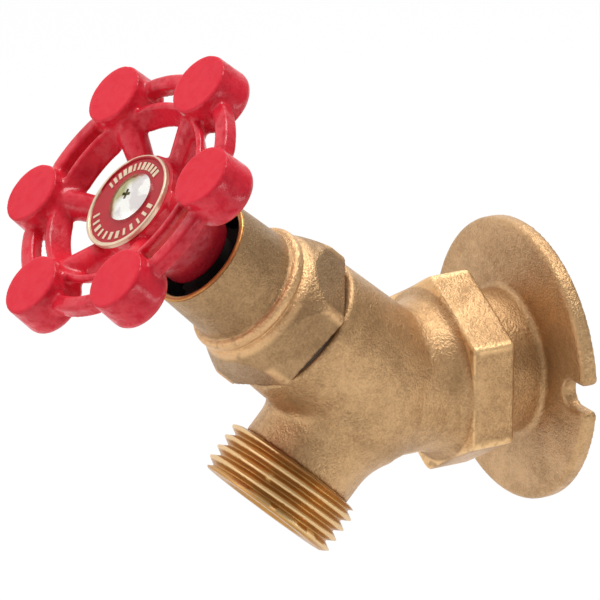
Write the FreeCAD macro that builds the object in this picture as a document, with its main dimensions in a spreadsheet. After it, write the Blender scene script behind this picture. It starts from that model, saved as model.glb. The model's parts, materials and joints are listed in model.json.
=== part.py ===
import FreeCAD, Part
import math
import os
import re
import Sketcher

# The frame: the wall is the plane Y = 0 with the wall towards +Y, the tap reaches out along -Y,
# +Z is up and X = 0 is the plane of symmetry. All lengths are millimetres, all angles degrees.
# Heights named along the stem are measured on the stem's axis, outwards, from where that axis
# crosses the axis of the inlet. Reaches named along the spout are measured in the same way.

doc = FreeCAD.newDocument("sillcock")
sheet = doc.addObject("Spreadsheet::Sheet", "Sizes")

SIZES = (
    # the two slanted axes
    ("stem_distance", 31.5),
    ("stem_angle", 42),
    ("spout_distance", 34.8),
    ("spout_angle", 47),
    # wall flange with its two open screw slots
    ("flange_radius", 26),
    ("flange_thickness", 2.9),
    ("flange_edge", 1.1),
    ("slot_width", 5),
    ("slot_reach", 19),
    ("slot_flat", 0.2),
    ("slot_mouth_step", 1),
    ("slot_mouth_edge", 0.95),
    # inlet: boss, wrench hexagon, shoulder and neck
    ("boss_radius", 13.2),
    ("boss_length", 8.2),
    ("boss_fillet", 1.2),
    ("inlet_hex_flats", 32.2),
    ("inlet_hex_length", 8.4),
    ("inlet_hex_edge", 0.9),
    ("shoulder_radius", 14.1),
    ("shoulder_length", 2),
    ("shoulder_edge", 0.8),
    ("shoulder_slope", 1.6),
    ("neck_radius", 13.4),
    # globe and the barrel that takes the bonnet
    ("globe_radius", 14.3),
    ("globe_distance", 33.5),
    ("barrel_radius", 13.5),
    ("barrel_root_radius", 14.3),
    ("barrel_end", 21.6),
    ("barrel_offset", 0.5),
    # spout and its hose thread
    ("spout_root_radius", 13.4),
    ("spout_root_end", 6.4),
    ("spout_root_edge", 4),
    ("spout_flare_corner", 10.6),
    ("spout_flare", 11),
    ("spout_neck_radius", 11),
    ("hose_thread_start", 17.4),
    ("hose_thread_length", 9.4),
    ("hose_thread_turn", 180),
    ("hose_crest_radius", 13.49),
    ("hose_pitch", 2.209),
    ("hose_thread_depth", 1.42),
    ("hose_crest_flat", 0.28),
    ("hose_root_flat", 0.3),
    ("hose_end_chamfer", 0.9),
    # waterway
    ("inlet_thread_radius", 11.9),
    ("inlet_thread_depth", 14.5),
    ("inlet_mouth_chamfer", 1),
    ("inlet_bore", 8.5),
    ("inlet_bore_end", 29.5),
    ("seat_level", 0.2),
    ("seat_hole", 5.5),
    ("seat_lip_width", 1.3),
    ("seat_lip_height", 1.2),
    ("seat_hole_length", 7.8),
    ("seat_web", 2.2),
    ("chamber_radius", 9.2),
    ("outlet_way", 7.3),
    ("outlet_way_start", 5.2),
    ("outlet_bore", 7.8),
    ("outlet_bore_start", 12),
    ("outlet_mouth_chamfer", 0.7),
    # bonnet outside
    ("gasket_thickness", 0.8),
    ("gasket_width", 2),
    ("bonnet_thread_radius", 10.6),
    ("bonnet_thread_length", 10.1),
    ("bonnet_hex_flats", 26),
    ("bonnet_hex_turn", 18.9),
    ("bonnet_hex_height", 9.4),
    ("bonnet_hex_edge", 0.5),
    ("bonnet_chamfer_height", 5.4),
    ("bonnet_chamfer_radius", 12.2),
    ("bead_groove", 0.7),
    ("bead_radius", 12.3),
    ("bead_height", 2),
    ("bead_lower_edge", 0.6),
    ("bead_upper_edge", 0.9),
    ("hood_root_radius", 10.85),
    ("hood_mouth_radius", 10.3),
    ("hood_height", 12.2),
    ("hood_bore", 9.15),
    ("hood_bore_depth", 7.6),
    ("hood_lip", 0.35),
    # bonnet inside
    ("bonnet_recess_radius", 8.4),
    ("bonnet_recess_depth", 3.8),
    ("stem_nut_length", 7.7),
    ("relief_radius", 7.6),
    ("packing_web", 2),
    ("packing_box_radius", 7.5),
    ("packing_box_depth", 10),
    # seat washer and its swivelling holder
    ("closed_gap", 0.1),
    ("washer_radius", 7.3),
    ("washer_thickness", 3.5),
    ("cup_wall", 0.7),
    ("cup_depth", 2.6),
    ("cup_floor", 1.4),
    ("spigot_radius", 3.5),
    ("spigot_length", 4.6),
    ("clip_thickness", 0.9),
    ("clip_width", 1.1),
    ("clip_height", 2),
    ("clip_opening", 40),
    ("bib_screw_radius", 1.9),
    ("bib_screw_length", 8),
    ("bib_hole_spare", 0.5),
    ("bib_head_radius", 3.4),
    ("bib_head_height", 2),
    ("bib_slot_width", 1),
    ("bib_slot_depth", 0.9),
    # stem
    ("swivel_gap", 0.15),
    ("stem_foot_radius", 7.8),
    ("stem_foot_height", 4),
    ("stem_thread_radius", 7),
    ("stem_thread_length", 11.5),
    ("stem_thread_pitch", 2.88),
    ("stem_thread_depth", 1.1),
    ("stem_crest_flat", 0.9),
    ("stem_root_flat", 0.9),
    ("stem_shank_radius", 4.8),
    ("stem_square", 6.4),
    ("stem_square_length", 14.4),
    # packing
    ("packing_washer_thickness", 1),
    ("packing_ring_height", 2),
    ("gland_height", 2),
    ("packing_nut_shank", 3.3),
    ("packing_nut_flats", 13.4),
    ("packing_nut_height", 2.5),
    # handwheel
    ("hub_entry", 0.5),
    ("hub_mouth_radius", 6.9),
    ("hub_waist_height", 2),
    ("hub_top_radius", 9),
    ("hub_height", 17.1),
    ("hub_rim_height", 3.5),
    ("knob_circle", 22.3),
    ("knob_radius", 5.75),
    ("knob_back_radius", 6.2),
    ("knob_rise", 5),
    ("knob_depth", 7.8),
    ("knob_face_edge", 0.35),
    ("knob_back_edge", 2),
    ("knob_turn", 22.5),
    ("rail_recess", 2),
    ("rail_edge", 0.4),
    ("inner_rail_radius", 16.8),
    ("inner_rail_width", 1.1),
    ("inner_rail_depth", 4.1),
    ("inner_rail_lean", 1.9),
    ("outer_rail_radius", 23.7),
    ("outer_rail_width", 2.9),
    ("outer_rail_depth", 2.8),
    ("outer_rail_edge", 0.7),
    ("hub_mouth_edge", 1),
    ("spoke_radius", 2.05),
    ("spoke_end_radius", 2.75),
    ("spoke_root", 5),
    ("spoke_end", 18.5),
    ("spoke_drop", 5),
    ("spoke_slope", 24),
    # index plate and the screw that holds the wheel
    ("plate_radius", 9.2),
    ("plate_thickness", 0.5),
    ("plate_rim_width", 0.7),
    ("plate_rim_height", 0.35),
    ("plate_rim_edge", 0.28),
    ("plate_drop", 0.85),
    ("plate_shift", 0.5),
    ("screw_head_radius", 4.7),
    ("screw_head_height", 1.3),
    ("screw_rim_height", 0.4),
    ("screw_crown_radius", 3),
    ("screw_crown_edge", 6),
    ("screw_shank_radius", 2),
    ("screw_shank_length", 9),
    ("screw_recess_span", 2),
    ("screw_recess_width", 0.6),
    ("screw_recess_depth", 0.8),
    # play between pieces
    ("thread_play", 0.05),
    ("shaft_play", 0.06),
    ("screw_hole_play", 0.2),
    ("socket_play", 0.06),
    ("socket_spare", 0.5),
    ("cutter_overrun", 1),
    ("thread_overrun", 0.3),
)

for row, (name, size) in enumerate(SIZES, start=1):
    sheet.set(f"A{row}", name)
    sheet.set(f"B{row}", str(size))
    sheet.setAlias(f"B{row}", name)
doc.recompute()

NAMES = {name for name, size in SIZES}
KNOBS = 6

# Levels along the stem that follow from the sizes
HEX_FOOT = "(barrel_end + gasket_thickness)"
HEX_TOP = f"({HEX_FOOT} + bonnet_hex_height)"
BEAD_TOP = f"({HEX_TOP} + bead_groove + bead_height)"
HOOD_TOP = f"({BEAD_TOP} + hood_height)"
HOOD_FLOOR = f"({HOOD_TOP} - hood_bore_depth)"
PACKING_FLOOR = f"({HOOD_FLOOR} - packing_box_depth)"
WEB_FOOT = "(seat_level - seat_lip_height - seat_web)"
SPIGOT_FOOT = "(barrel_end - bonnet_thread_length)"
NUT_FOOT = f"({SPIGOT_FOOT} + bonnet_recess_depth)"
NUT_TOP = f"({NUT_FOOT} + stem_nut_length)"
STEM_BORE = "(stem_shank_radius + shaft_play)"
WASHER_FOOT = "(seat_level + closed_gap)"
CUP_CEILING = f"({WASHER_FOOT} + washer_thickness)"
CUP_TOP = f"({CUP_CEILING} + cup_floor)"
CUP_RADIUS = "(washer_radius + shaft_play + cup_wall)"
STEM_FOOT = f"({CUP_TOP} + swivel_gap)"
THREAD_FOOT = f"({STEM_FOOT} + stem_foot_height)"
THREAD_TOP = f"({THREAD_FOOT} + stem_thread_length)"
HUB_FOOT = f"({HOOD_TOP} - hub_entry)"
HUB_TOP = f"({HUB_FOOT} + hub_height)"
KNOB_TOP = f"({HUB_TOP} + knob_rise)"
RAIL_TOP = f"({KNOB_TOP} - rail_recess)"
PLATE_TOP = f"({HUB_TOP} + plate_thickness)"
SQUARE_TOP = f"({HUB_FOOT} + stem_square_length)"
INLET_HEX_START = "(flange_thickness + boss_length)"
INLET_HEX_END = f"({INLET_HEX_START} + inlet_hex_length)"
SPOUT_END = "(hose_thread_start + hose_thread_length)"


def bound(text):
    """Return the expression with each size's name pointing at its cell."""
    return re.sub(r"[a-z][a-z_]*", lambda word: "Sizes." * (word[0] in NAMES) + word[0], text)


def value(text):
    """Return what the expression comes to with the sheet's present sizes."""
    return float(sheet.evalExpression(bound(text)))


def tie(piece, **formulas):
    """Bind each named property of the piece to its expression."""
    for name, text in formulas.items():
        piece.setExpression(name, bound(text))


def place(piece, distance, tilt, turn="0", offset="0"):
    """Stand the piece's Z axis on the inlet's axis, this far from the wall, tilted and turned.

    The offset moves a tilted piece square to its own axis, away from the ground.
    """
    upright = FreeCAD.Rotation(FreeCAD.Vector(1, 0, 0), 90)
    piece.Placement = FreeCAD.Placement(FreeCAD.Vector(), upright)
    piece.setExpression("Placement.Base.y", bound(f"{offset} * cos({tilt}) - ({distance})"))
    piece.setExpression("Placement.Base.z", bound(f"{offset} * sin({tilt})"))
    tilting = f"rotation(vector(1; 0; 0); {tilt})"
    turning = f"rotation(vector(0; 0; 1); {turn})"
    piece.setExpression("Placement.Rotation", bound(f"{tilting} * {turning}"))


def on_stem(piece, turn="0", offset="0"):
    place(piece, "stem_distance", "90 - stem_angle", turn, offset)
    return piece


def on_spout(piece, turn="0"):
    place(piece, "spout_distance", "90 + spout_angle", turn)
    return piece


def on_inlet(piece, turn="0"):
    place(piece, "0", "90", turn)
    return piece


def origin_plane(body, role):
    return next(feature for feature in body.Origin.OriginFeatures if feature.Role == role)


def new_sketch(body, role, name):
    sketch = body.newObject("Sketcher::SketchObject", name)
    sketch.AttachmentSupport = [(origin_plane(body, role), "")]
    sketch.MapMode = "FlatFace"
    return sketch


def pin_point(sketch, geometry, end, across, up):
    """Hold a point of the sketch at the place that two expressions give."""
    for kind, text, axis in (("DistanceX", across, -2), ("DistanceY", up, -1)):
        if text == "0":
            sketch.addConstraint(Sketcher.Constraint("PointOnObject", geometry, end, axis))
        else:
            held = Sketcher.Constraint(kind, -1, 1, geometry, end, value(text))
            number = sketch.addConstraint(held)
            sketch.setExpression(f"Constraints[{number}]", bound(text))


def corner_arc(before, corner, after, radius):
    """Return where a rounding leaves and meets its two lines, its arc, and whether it turns left."""
    back = (before - corner).normalize()
    ahead = (after - corner).normalize()
    half = back.getAngle(ahead) / 2
    middle = (back + ahead).normalize()
    centre = corner + middle * (radius / math.sin(half))
    leave = corner + back * (radius / math.tan(half))
    meet = corner + ahead * (radius / math.tan(half))
    left = back.cross(ahead).z < 0
    first, last = (leave, meet) if left else (meet, leave)
    start = math.atan2(first.y - centre.y, first.x - centre.x)
    stop = math.atan2(last.y - centre.y, last.x - centre.x)
    circle = Part.Circle(centre, FreeCAD.Vector(0, 0, 1), radius)
    return leave, meet, Part.ArcOfCircle(circle, start, stop), left


def draw_outline(sketch, corners):
    """Draw a closed outline through corners given as (across, up) or (across, up, rounding)."""
    spots = [FreeCAD.Vector(value(corner[0]), value(corner[1]), 0) for corner in corners]
    count = len(corners)
    arcs = {}
    for index, corner in enumerate(corners):
        if len(corner) == 3:
            around = spots[index - 1], spots[index], spots[(index + 1) % count]
            arcs[index] = corner_arc(*around, value(corner[2]))
    lines = []
    for index in range(count):
        after = (index + 1) % count
        start = arcs[index][1] if index in arcs else spots[index]
        stop = arcs[after][0] if after in arcs else spots[after]
        lines.append(sketch.addGeometry(Part.LineSegment(start, stop), False))
    for index, corner in enumerate(corners):
        coming, going = lines[index - 1], lines[index]
        if index not in arcs:
            sketch.addConstraint(Sketcher.Constraint("Coincident", coming, 2, going, 1))
            pin_point(sketch, going, 1, corner[0], corner[1])
            continue
        arc = sketch.addGeometry(arcs[index][2], False)
        enter, leave = (1, 2) if arcs[index][3] else (2, 1)
        tip = sketch.addGeometry(Part.Point(spots[index]), True)
        pin_point(sketch, tip, 1, corner[0], corner[1])
        sketch.addConstraint(Sketcher.Constraint("PointOnObject", tip, 1, coming))
        sketch.addConstraint(Sketcher.Constraint("PointOnObject", tip, 1, going))
        sketch.addConstraint(Sketcher.Constraint("Tangent", coming, 2, arc, enter))
        sketch.addConstraint(Sketcher.Constraint("Tangent", arc, leave, going, 1))
        rounding = Sketcher.Constraint("Radius", arc, value(corner[2]))
        number = sketch.addConstraint(rounding)
        sketch.setExpression(f"Constraints[{number}]", bound(corner[2]))


def new_body(label):
    body = doc.addObject("PartDesign::Body", label)
    body.Label = label
    return body


def turn_outline(body, name, corners):
    """Add the solid that an outline of (radius, height) corners makes when turned about Z."""
    sketch = new_sketch(body, "XZ_Plane", f"{name}_outline")
    draw_outline(sketch, corners)
    turned = body.newObject("PartDesign::Revolution", name)
    turned.Profile = sketch
    turned.ReferenceAxis = (sketch, ["V_Axis"])
    turned.Angle = 360
    return turned


def turned_piece(label, corners):
    body = new_body(label)
    turn_outline(body, f"{label}_turned", corners)
    return body


def shift(feature, **formulas):
    """Move an attached sketch or primitive within its body by expressions for its offset."""
    for name, text in formulas.items():
        feature.setExpression(f"AttachmentOffset.{name}", bound(text))


def hexagon(flats, edge, turn="0"):
    """Return the six rounded corners of a hexagon of this width across its flats."""
    reach = f"{flats} / sqrt(3)"
    angles = [f"({turn} + {60 * corner})" for corner in range(6)]
    return [(f"{reach} * cos({angle})", f"{reach} * sin({angle})", edge) for angle in angles]


def add_pad(body, name, corners, foot, length):
    """Add a straight bar with this outline, from the foot upwards."""
    sketch = new_sketch(body, "XY_Plane", f"{name}_outline")
    shift(sketch, **{"Base.z": foot})
    draw_outline(sketch, corners)
    pad = body.newObject("PartDesign::Pad", name)
    pad.Profile = sketch
    tie(pad, Length=length)
    return pad


def cut_pocket(body, name, corners, foot, length):
    """Cut a straight hole with this outline, from the foot upwards."""
    sketch = new_sketch(body, "XY_Plane", f"{name}_outline")
    shift(sketch, **{"Base.z": foot})
    draw_outline(sketch, corners)
    pocket = body.newObject("PartDesign::Pocket", name)
    pocket.Profile = sketch
    pocket.Reversed = True
    tie(pocket, Length=length)
    return pocket


def cut_groove(body, name, corners):
    """Cut away what an outline of (radius, height) corners sweeps when turned about Z."""
    sketch = new_sketch(body, "XZ_Plane", f"{name}_outline")
    draw_outline(sketch, corners)
    groove = body.newObject("PartDesign::Groove", name)
    groove.Profile = sketch
    groove.ReferenceAxis = (sketch, ["V_Axis"])
    groove.Angle = 360
    return groove


def cut_thread(body, name, radius, foot, length, pitch, depth, crest, root):
    """Cut a right-handed screw groove, which runs out past both ends of the threaded length."""
    slope = f"(({pitch} - {crest} - {root}) / 2 / ({depth}))"
    middle = f"({foot} - {pitch})"
    mouth = f"(({pitch} - {crest}) / 2 + {slope} * thread_overrun)"
    outside = f"{radius} + thread_overrun"
    inside = f"{radius} - {depth}"
    sketch = new_sketch(body, "XZ_Plane", f"{name}_profile")
    corners = (
        (inside, f"{middle} - {root} / 2"),
        (outside, f"{middle} - {mouth}"),
        (outside, f"{middle} + {mouth}"),
        (inside, f"{middle} + {root} / 2"),
    )
    draw_outline(sketch, corners)
    thread = body.newObject("PartDesign::SubtractiveHelix", name)
    thread.Profile = sketch
    thread.ReferenceAxis = (sketch, ["V_Axis"])
    thread.Mode = 0
    thread.LeftHanded = False
    thread.Reversed = False
    tie(thread, Pitch=pitch, Height=f"{length} + 2 * {pitch}")
    return thread


def joined(name, forms):
    """Fuse the forms one after another into one solid."""
    union = forms[0]
    for count, form in enumerate(forms[1:], start=1):
        fuse = doc.addObject("Part::Fuse", f"{name}_{count}")
        fuse.Base = union
        fuse.Tool = form
        union = fuse
    return union


def carved(label, form, tool):
    """Return the named piece that is left when the tool is cut out of the form."""
    piece = doc.addObject("Part::Cut", label)
    piece.Base = form
    piece.Tool = tool
    piece.Refine = True
    piece.Label = label
    return piece


def make_valve_body():
    """The casting: wall flange, wrench hexagon, globe, bonnet barrel, spout and waterway."""
    inlet = on_inlet(turned_piece("inlet_form", [
        ("0", "0"),
        ("flange_radius", "0"),
        ("flange_radius", "flange_thickness", "flange_edge"),
        ("boss_radius", "flange_thickness", "boss_fillet"),
        ("boss_radius", f"({INLET_HEX_START} + {INLET_HEX_END}) / 2"),
        ("shoulder_radius", f"({INLET_HEX_START} + {INLET_HEX_END}) / 2"),
        ("shoulder_radius", f"{INLET_HEX_END} + shoulder_length", "shoulder_edge"),
        ("neck_radius", f"{INLET_HEX_END} + shoulder_length + shoulder_slope"),
        ("neck_radius", "globe_distance"),
        ("0", "globe_distance"),
    ]))
    wrench = on_inlet(new_body("inlet_hex_form"))
    add_pad(wrench, "inlet_hex", hexagon("inlet_hex_flats", "inlet_hex_edge", "30"),
            INLET_HEX_START, "inlet_hex_length")
    globe = doc.addObject("Part::Sphere", "globe_form")
    tie(globe, Radius="globe_radius")
    place(globe, "globe_distance", "90")
    barrel = on_stem(turned_piece("barrel_form", [
        ("0", "0"),
        ("barrel_root_radius", "0"),
        ("barrel_radius", "barrel_end", "bonnet_hex_edge"),
        ("0", "barrel_end"),
    ]), offset="barrel_offset")
    spout = on_spout(turned_piece("spout_form", [
        ("0", "0"),
        ("spout_root_radius", "0"),
        ("spout_root_radius", "spout_root_end", "spout_root_edge"),
        ("spout_neck_radius", "spout_flare_corner", "spout_flare"),
        ("spout_neck_radius", "hose_thread_start + cutter_overrun"),
        ("0", "hose_thread_start + cutter_overrun"),
    ]))
    hose_end = on_spout(turned_piece("hose_thread_form", [
        ("0", "hose_thread_start"),
        ("hose_crest_radius - hose_thread_depth", "hose_thread_start"),
        ("hose_crest_radius", "hose_thread_start + hose_end_chamfer / 2"),
        ("hose_crest_radius", f"{SPOUT_END} - hose_end_chamfer"),
        ("hose_crest_radius - hose_end_chamfer", SPOUT_END),
        ("0", SPOUT_END),
    ]), "hose_thread_turn")
    cut_thread(hose_end, "hose_thread", "hose_crest_radius", "hose_thread_start", "hose_thread_length",
               "hose_pitch", "hose_thread_depth", "hose_crest_flat", "hose_root_flat")
    casting = joined("casting_form", [inlet, wrench, globe, barrel, spout, hose_end])
    tools = doc.addObject("Part::MultiFuse", "waterway_form")
    tools.Shapes = waterway_tools() + flange_slots()
    return carved("valve_body", casting, tools)


def waterway_tools():
    """The bores of the casting, from the pipe thread through the seat to the spout's mouth."""
    inlet = on_inlet(turned_piece("inlet_bore_form", [
        ("0", "-cutter_overrun"),
        ("inlet_thread_radius + inlet_mouth_chamfer + cutter_overrun", "-cutter_overrun"),
        ("inlet_thread_radius", "inlet_mouth_chamfer"),
        ("inlet_thread_radius", "inlet_thread_depth"),
        ("inlet_bore", "inlet_thread_depth + inlet_thread_radius - inlet_bore"),
        ("inlet_bore", "inlet_bore_end"),
        ("0", "inlet_bore_end"),
    ]))
    above_web = on_stem(turned_piece("above_web_form", [
        ("0", WEB_FOOT),
        ("stem_distance", WEB_FOOT),
        ("stem_distance", "barrel_end"),
        ("0", "barrel_end"),
    ]))
    passage = doc.addObject("Part::Cut", "inlet_passage_form")
    passage.Base = inlet
    passage.Tool = above_web
    seat = on_stem(turned_piece("seat_hole_form", [
        ("0", "seat_level - seat_hole_length"),
        ("seat_hole", "seat_level - seat_hole_length"),
        ("seat_hole", "seat_level + cutter_overrun"),
        ("0", "seat_level + cutter_overrun"),
    ]))
    chamber = on_stem(turned_piece("chamber_form", [
        ("0", "seat_level"),
        ("seat_hole + seat_lip_width", "seat_level"),
        ("seat_hole + seat_lip_width", "seat_level - seat_lip_height"),
        ("chamber_radius", "seat_level - seat_lip_height"),
        ("chamber_radius", f"{SPIGOT_FOOT} - cutter_overrun"),
        ("bonnet_thread_radius + thread_play", f"{SPIGOT_FOOT} - cutter_overrun"),
        ("bonnet_thread_radius + thread_play", "barrel_end + cutter_overrun"),
        ("0", "barrel_end + cutter_overrun"),
    ]))
    outlet = on_spout(turned_piece("outlet_bore_form", [
        ("0", "outlet_way_start"),
        ("outlet_way", "outlet_way_start"),
        ("outlet_way", "outlet_bore_start"),
        ("outlet_bore", "outlet_bore_start"),
        ("outlet_bore", f"{SPOUT_END} - outlet_mouth_chamfer"),
        ("outlet_bore + outlet_mouth_chamfer + cutter_overrun", f"{SPOUT_END} + cutter_overrun"),
        ("0", f"{SPOUT_END} + cutter_overrun"),
    ]))
    return [passage, seat, chamber, outlet]


def flange_slots():
    """Two screw slots, open to the flange's rim, with round inner ends and eased mouths."""
    half = "slot_width / 2"
    inner = "(slot_width - slot_flat) / 2"
    flare = f"({half} + slot_mouth_step)"
    mouth = f"sqrt(flange_radius ^ 2 - {flare} ^ 2)"
    outside = "flange_radius + cutter_overrun"
    slots = []
    for name, turn in (("slot_form_right", "0"), ("slot_form_left", "180")):
        slot = on_inlet(new_body(name), turn)
        add_pad(slot, f"{name}_pad", [
            ("slot_reach", f"-{half}", inner),
            (mouth, f"-{half}", "slot_mouth_edge"),
            (mouth, f"-{flare}"),
            (outside, f"-{flare}"),
            (outside, flare),
            (mouth, flare),
            (mouth, half, "slot_mouth_edge"),
            ("slot_reach", half, inner),
        ], "-cutter_overrun", f"{INLET_HEX_START} + cutter_overrun")
        slots.append(slot)
    return slots


def make_bonnet():
    """The bonnet: threaded spigot, wrench hexagon, bead and the hood round the packing nut."""
    outside = turned_piece("bonnet_outside_form", [
        ("0", SPIGOT_FOOT),
        ("bonnet_thread_radius", SPIGOT_FOOT),
        ("bonnet_thread_radius", HEX_FOOT),
        ("bonnet_chamfer_radius", HEX_FOOT),
        ("bonnet_chamfer_radius", HEX_TOP),
        ("hood_root_radius + bead_groove", HEX_TOP),
        ("hood_root_radius + bead_groove", f"{HEX_TOP} + bead_groove"),
        ("bead_radius", f"{HEX_TOP} + bead_groove", "bead_lower_edge"),
        ("bead_radius", BEAD_TOP, "bead_upper_edge"),
        ("hood_root_radius", BEAD_TOP),
        ("hood_mouth_radius", HOOD_TOP, "hood_lip"),
        ("0", HOOD_TOP),
    ])
    bar = new_body("bonnet_hex_form")
    add_pad(bar, "bonnet_hex", hexagon("bonnet_hex_flats", "bonnet_hex_edge", "bonnet_hex_turn"),
            HEX_FOOT, "bonnet_hex_height")
    cone = turned_piece("bonnet_chamfer_form", [
        ("0", HEX_FOOT),
        ("bonnet_hex_flats", HEX_FOOT),
        ("bonnet_hex_flats / sqrt(3)", f"{HEX_TOP} - bonnet_chamfer_height"),
        ("bonnet_chamfer_radius", HEX_TOP),
        ("0", HEX_TOP),
    ])
    wrench = doc.addObject("Part::MultiCommon", "bonnet_wrench_form")
    wrench.Shapes = [bar, cone]
    inside = turned_piece("bonnet_inside_form", [
        ("0", f"{SPIGOT_FOOT} - cutter_overrun"),
        ("bonnet_recess_radius", f"{SPIGOT_FOOT} - cutter_overrun"),
        ("bonnet_recess_radius", NUT_FOOT),
        ("stem_thread_radius + thread_play", NUT_FOOT),
        ("stem_thread_radius + thread_play", NUT_TOP),
        ("relief_radius", NUT_TOP),
        ("relief_radius", f"{PACKING_FLOOR} - packing_web"),
        (STEM_BORE, f"{PACKING_FLOOR} - packing_web"),
        (STEM_BORE, PACKING_FLOOR),
        ("packing_box_radius", PACKING_FLOOR),
        ("packing_box_radius", HOOD_FLOOR),
        ("hood_bore", HOOD_FLOOR),
        ("hood_bore", f"{HOOD_TOP} - hood_lip"),
        ("hood_bore + hood_lip + cutter_overrun", f"{HOOD_TOP} + cutter_overrun"),
        ("0", f"{HOOD_TOP} + cutter_overrun"),
    ])
    return on_stem(carved("bonnet", joined("bonnet_form", [outside, wrench]), inside))


def make_bonnet_gasket():
    """The fibre ring that is nipped between the barrel's end and the bonnet's hexagon."""
    return on_stem(turned_piece("bonnet_gasket", [
        ("bonnet_thread_radius + thread_play", "barrel_end"),
        ("bonnet_thread_radius + gasket_width", "barrel_end"),
        ("bonnet_thread_radius + gasket_width", HEX_FOOT),
        ("bonnet_thread_radius + thread_play", HEX_FOOT),
    ]))


def make_seat_washer():
    """The rubber disc that closes on the seat."""
    return on_stem(turned_piece("seat_washer", [
        ("bib_screw_radius + screw_hole_play", WASHER_FOOT),
        ("washer_radius", WASHER_FOOT, "slot_flat"),
        ("washer_radius", CUP_CEILING),
        ("bib_screw_radius + screw_hole_play", CUP_CEILING),
    ]))


def make_disc_holder():
    """The cup that carries the washer and swivels on its spigot in the stem's foot."""
    holder = turned_piece("disc_holder", [
        ("0", CUP_CEILING),
        ("washer_radius + shaft_play", CUP_CEILING),
        ("washer_radius + shaft_play", f"{CUP_CEILING} - cup_depth"),
        (CUP_RADIUS, f"{CUP_CEILING} - cup_depth"),
        (CUP_RADIUS, CUP_TOP, "slot_flat"),
        ("spigot_radius", CUP_TOP),
        ("spigot_radius", f"{CUP_TOP} + spigot_length", "slot_flat"),
        ("0", f"{CUP_TOP} + spigot_length"),
    ])
    cut_groove(holder, "clip_groove", [
        ("spigot_radius - clip_width / 2 - shaft_play", f"{CUP_TOP} + clip_height - shaft_play"),
        ("spigot_radius + cutter_overrun", f"{CUP_TOP} + clip_height - shaft_play"),
        ("spigot_radius + cutter_overrun", f"{CUP_TOP} + clip_height + clip_thickness + shaft_play"),
        ("spigot_radius - clip_width / 2 - shaft_play",
         f"{CUP_TOP} + clip_height + clip_thickness + shaft_play"),
    ])
    cut_groove(holder, "bib_hole", [
        ("0", f"{CUP_CEILING} - cutter_overrun"),
        ("bib_screw_radius + thread_play", f"{CUP_CEILING} - cutter_overrun"),
        ("bib_screw_radius + thread_play", f"{WASHER_FOOT} + bib_screw_length + bib_hole_spare"),
        ("0", f"{WASHER_FOOT} + bib_screw_length + bib_hole_spare"),
    ])
    return on_stem(holder)


def make_holder_clip():
    """The split ring that keeps the holder's spigot in the stem."""
    clip = turned_piece("holder_clip", [
        ("spigot_radius - clip_width / 2", f"{CUP_TOP} + clip_height"),
        ("spigot_radius + clip_width / 2", f"{CUP_TOP} + clip_height"),
        ("spigot_radius + clip_width / 2", f"{CUP_TOP} + clip_height + clip_thickness"),
        ("spigot_radius - clip_width / 2", f"{CUP_TOP} + clip_height + clip_thickness"),
    ])
    reach = "(spigot_radius + clip_width)"
    cut_pocket(clip, "clip_split", [
        ("0", "0"),
        (f"{reach} * cos(clip_opening / 2)", f"-{reach} * sin(clip_opening / 2)"),
        (f"{reach} * cos(clip_opening / 2)", f"{reach} * sin(clip_opening / 2)"),
    ], f"{CUP_TOP} + clip_height - cutter_overrun", "clip_thickness + 2 * cutter_overrun")
    return on_stem(clip)


def make_bib_screw():
    """The slotted screw that holds the washer in its cup."""
    screw = turned_piece("bib_screw", [
        ("0", f"{WASHER_FOOT} - bib_head_height"),
        ("bib_head_radius", f"{WASHER_FOOT} - bib_head_height", "bib_head_height / 2"),
        ("bib_head_radius", WASHER_FOOT),
        ("bib_screw_radius", WASHER_FOOT),
        ("bib_screw_radius", f"{WASHER_FOOT} + bib_screw_length", "slot_flat"),
        ("0", f"{WASHER_FOOT} + bib_screw_length"),
    ])
    cut_pocket(screw, "driver_slot", [
        ("-bib_head_radius - cutter_overrun", "-bib_slot_width / 2"),
        ("bib_head_radius + cutter_overrun", "-bib_slot_width / 2"),
        ("bib_head_radius + cutter_overrun", "bib_slot_width / 2"),
        ("-bib_head_radius - cutter_overrun", "bib_slot_width / 2"),
    ], f"{WASHER_FOOT} - bib_head_height - cutter_overrun", "bib_slot_depth + cutter_overrun")
    return on_stem(screw)


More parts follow.
